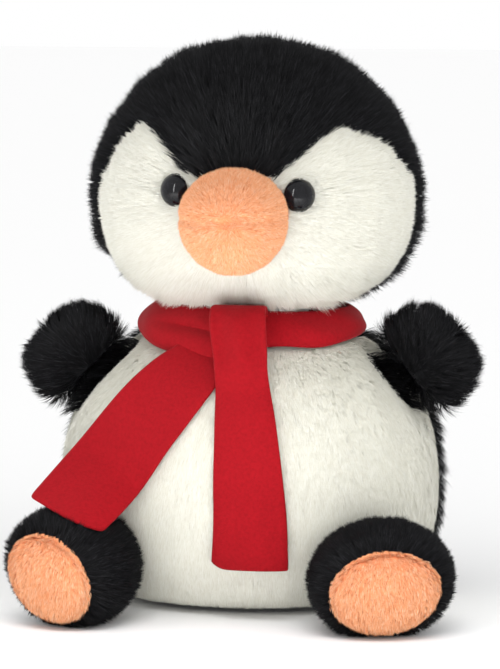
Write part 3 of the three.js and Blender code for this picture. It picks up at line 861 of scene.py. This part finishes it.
grow("body_fur_white", body_skin, "torso", "white_fur", body_keep(True), downward, belly_length, even(1.32),
     WHITE, density=8.5, seed=11, under_scarf=True, width=0.34 * MM, clump=0.03, spread=1.4 * MM, curl=0.06,
     kind=SHORT, softness=1.0, uneven=0.06, turn=0.2, shadow=False)
grow("body_fur_black", body_skin, "torso", "black_fur", body_keep(False), downward, back_length, even(0.95),
     BLACK, density=4.2, seed=12, under_scarf=True, width=0.24 * MM, clump=0.4, spread=0.9 * MM)


def all_over(points, normals):
    return np.ones(len(points), bool)


def flipper_fur(side, sign, flipper):
    """Fur that runs out from the root of a flipper, and hangs back over its seam on the body."""
    low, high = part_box(f"flipper_{side}_front")
    middle = np.array([(low.x + high.x) / 2, high.y, (low.z + high.z) / 2])
    outward = np.array([sign * 0.72, 0.0, 0.69])

    def from_root(points, normals):
        across = points - middle
        reach = (across @ outward)[:, None]
        at_root = smooth(-reach, 4 * MM, 11 * MM)
        return unit(across - outward * reach) * (0.75 + 0.35 * at_root) + outward * (1 - 1.7 * at_root)

    def flipper_length(points, normals):
        reach = (points - middle) @ outward
        return (5.6 + 3.4 * smooth(-reach, 4 * MM, 12 * MM)) * MM * (1 + 0.12 * ripple(points, 0.008, 9))

    grow(f"flipper_{side}_fur", flipper, f"flipper_{side}", "black_fur", all_over, from_root, flipper_length,
         even(1.0), BLACK, density=8.5, seed=20 + sign, width=0.20 * MM, clump=0.4, spread=0.8 * MM)


def foot_fur(side, sign, foot, trees):
    """Black fur that runs out from the sole over the foot, and the short pile of the sole."""
    sole_low, sole_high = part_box(f"foot_{side}_sole")
    middle = np.array((sole_low + sole_high) / 2)

    def around_sole(points, normals):
        return unit(points - middle - np.array([0, 0.004, 0])) + np.array([0, 0.15, 0])

    def upper(points, normals):
        zone, _ = nearest_panels(trees, points)
        return (zone == 0) & (points[:, 2] > 1.5 * MM) & (points[:, 1] < HEEL)

    def sole(points, normals):
        zone, _ = nearest_panels(trees, points)
        return zone == 1

    grow(f"foot_{side}_fur", foot, f"foot_{side}", "black_fur", upper, around_sole, even(4 * MM), even(0.8),
         BLACK, density=7.5, seed=30 + sign, width=0.20 * MM, clump=0.4, spread=0.8 * MM)
    grow(f"foot_{side}_sole_pile", foot, f"foot_{side}", "orange_plush", sole, downward, even(2.0 * MM),
         even(1.1), ORANGE, density=14, seed=40 + sign, width=0.17 * MM, spread=0.7 * MM, clump=0.25,
         kind=SHORT, softness=0.9)


for side, sign in (("left", 1), ("right", -1)):
    flipper, foot, foot_trees = side_parts[side]
    flipper_fur(side, sign, flipper)
    foot_fur(side, sign, foot, foot_trees)


def beak_keep(points, normals):
    return (points[:, 1] < -0.046) & (np.abs(points[:, 2] - MOUTH_HEIGHT) > 0.25 * MM)


def from_tip(points, normals):
    return points - BEAK_TIP


grow("beak_pile", beak_skin, "head", "orange_plush", beak_keep, from_tip, even(1.7 * MM), even(0.8),
     ORANGE, density=19, seed=50, width=0.15 * MM, spread=0.7 * MM, clump=0.3, curl=0.5, kind=SHORT)


# ---------------------------------------------------------------- build: eyes
# Radius and height from the top of the dome, over its rim, to the middle of its back, in millimetres.
EYE_PROFILE = (
    (0.0, 4.2), (1.2, 4.1), (2.4, 3.75), (3.5, 3.15), (4.5, 2.3), (5.3, 1.2), (5.8, 0.1), (5.95, -0.7),
    (5.8, -1.3), (5.2, -1.6), (3.0, -1.7), (0.0, -1.7),
)


def eye(side, place):
    """A safety eye: a polished dome with a thin rolled rim that sits down in the fur."""
    count = 48
    verts, faces = [], []
    for r, h in EYE_PROFILE[1:-1]:
        for k in range(count):
            a = 2 * math.pi * k / count
            verts.append((r * MM * math.cos(a), r * MM * math.sin(a), h * MM))
    rings = len(EYE_PROFILE) - 2
    for i in range(rings - 1):
        for k in range(count):
            a, b = i * count + k, i * count + (k + 1) % count
            faces.append((a, a + count, b + count, b))
    top, bottom = len(verts), len(verts) + 1
    verts += [(0, 0, EYE_PROFILE[0][1] * MM), (0, 0, EYE_PROFILE[-1][1] * MM)]
    start = (rings - 1) * count
    for k in range(count):
        following = (k + 1) % count
        faces.append((top, k, following))
        faces.append((bottom, start + following, start + k))
    mesh = bpy.data.meshes.new(f"eye_{side}_dome")
    mesh.from_pydata(verts, [], faces)
    x, y, _ = place
    outward = Vector((x * EYE_TURN, y / 0.87, 1.1 * MM)).normalized()
    turn = Vector((0, 0, 1)).rotation_difference(outward).to_matrix().to_4x4()
    mesh.transform(Matrix.Translation(Vector(place) - outward * EYE_SINK) @ turn)
    obj = link(bpy.data.objects.new(f"eye_{side}_dome", mesh))
    subdivide = obj.modifiers.new("subdivide", "SUBSURF")
    subdivide.levels = subdivide.render_levels = 1
    applied(obj)
    shade_smooth(obj.data)
    obj.data.materials.clear()
    obj.data.materials.append(EYE_PLASTIC)
    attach(obj, "head")
    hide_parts(f"eye_{side}")


for eye_side, eye_place in EYES:
    eye(eye_side, eye_place)

# ---------------------------------------------------------------- build: filling and other hidden nodes
for node, obj in NODES.items():
    if node.endswith("stuffing"):
        finish = FIBRE
    elif node == "pellet_pouch":
        finish = POUCH
    elif node.startswith("eye_washer"):
        finish = WASHER
    else:
        continue
    obj.data.materials.clear()
    obj.data.materials.append(finish)

# ---------------------------------------------------------------- floor, light and camera
floor_mesh = bpy.data.meshes.new("floor")
floor_corners = [(x * FLOOR_HALF, y * FLOOR_HALF, 0) for x, y in ((-1, -1), (1, -1), (1, 1), (-1, 1))]
floor_mesh.from_pydata(floor_corners, [], [(0, 1, 2, 3)])
floor_obj = link(bpy.data.objects.new("floor", floor_mesh))
floor_obj.data.materials.append(material("floor_paper", (0.97, 0.97, 0.97), 0.95, 0.1)[0])
floor_obj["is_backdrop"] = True

world = bpy.data.worlds.new("studio")
scene.world = world
world.use_nodes = True
world.node_tree.nodes["Background"].inputs["Color"].default_value = (1, 1, 1, 1)
world.node_tree.nodes["Background"].inputs["Strength"].default_value = 1.0
scene.view_settings.view_transform = "Standard"


def area_light(name, place, aim, size, power, mirrored=False, spread=180):
    """A soft light that spreads so many degrees. A mirrored one shows in highlights only, the others never."""
    light = bpy.data.lights.new(name, "AREA")
    light.shape = "RECTANGLE"
    light.size, light.size_y = size
    light.energy = power
    obj = link(bpy.data.objects.new(name, light))
    obj.location = place
    obj.rotation_euler = (Vector(aim) - Vector(place)).to_track_quat("-Z", "Y").to_euler()
    light.spread = math.radians(spread)
    obj.visible_glossy = mirrored
    obj.visible_diffuse = not mirrored


area_light("key", place=(0.9, -1.1, 1.1), aim=(0, 0, 0.1), size=(0.9, 0.9), power=2.1)
area_light("fill", place=(0.1, -1.5, 0.12), aim=(0, 0, 0.06), size=(1.4, 0.25), power=3.9)
area_light("floor_wash", place=(0, -0.42, 0.5), aim=(0, -0.42, 0), size=(0.6, 0.3), power=3.0, spread=70)
area_light("eye_strip", place=(-0.42, -1.2, 0.55), aim=(0, -0.04, 0.14), size=(0.10, 1.3), power=10,
           mirrored=True)

camera_data = bpy.data.cameras.new("camera")
camera_data.sensor_width = SENSOR
camera_data.lens = SENSOR * CAMERA_DISTANCE / VIEW_HEIGHT
camera = link(bpy.data.objects.new("camera", camera_data))
turn_angle, rise = math.radians(CAMERA_AZIMUTH), math.radians(CAMERA_ELEVATION)
level = math.cos(rise)
back = Vector((math.sin(turn_angle) * level, -math.cos(turn_angle) * level, math.sin(rise)))
camera.location = Vector(CAMERA_AIM) + back * CAMERA_DISTANCE
camera.rotation_mode = "QUATERNION"
camera.rotation_quaternion = (-back).to_track_quat("-Z", "Y")
scene.camera = camera

low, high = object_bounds()
